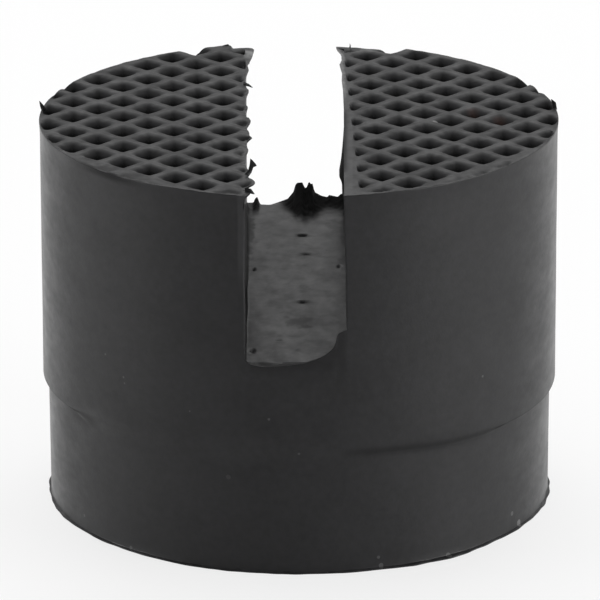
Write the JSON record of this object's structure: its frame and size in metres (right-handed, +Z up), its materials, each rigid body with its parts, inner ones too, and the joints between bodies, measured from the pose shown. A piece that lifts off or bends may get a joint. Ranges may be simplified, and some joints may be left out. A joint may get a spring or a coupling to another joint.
{
  "type": "slotted rubber jack pad",
  "caption": "Round rubber pad with a spigot below, a slot across the top for a sill seam and a tread of pyramid pits, for a trolley jack.",
  "frame": {"origin": "centre of the flat base, on the axis of the drum", "axes": "+Z up along the axis of the drum, +Y along the slot towards its torn end, front of the pad towards -Y"},
  "size_m": [0.065, 0.065, 0.0492],
  "materials": {
    "rubber": "matt moulded black rubber, slightly glossy at grazing angles"
  },
  "bodies": {
    "root": {"rubber_pad": "rubber"}
  },
  "joints": []
}
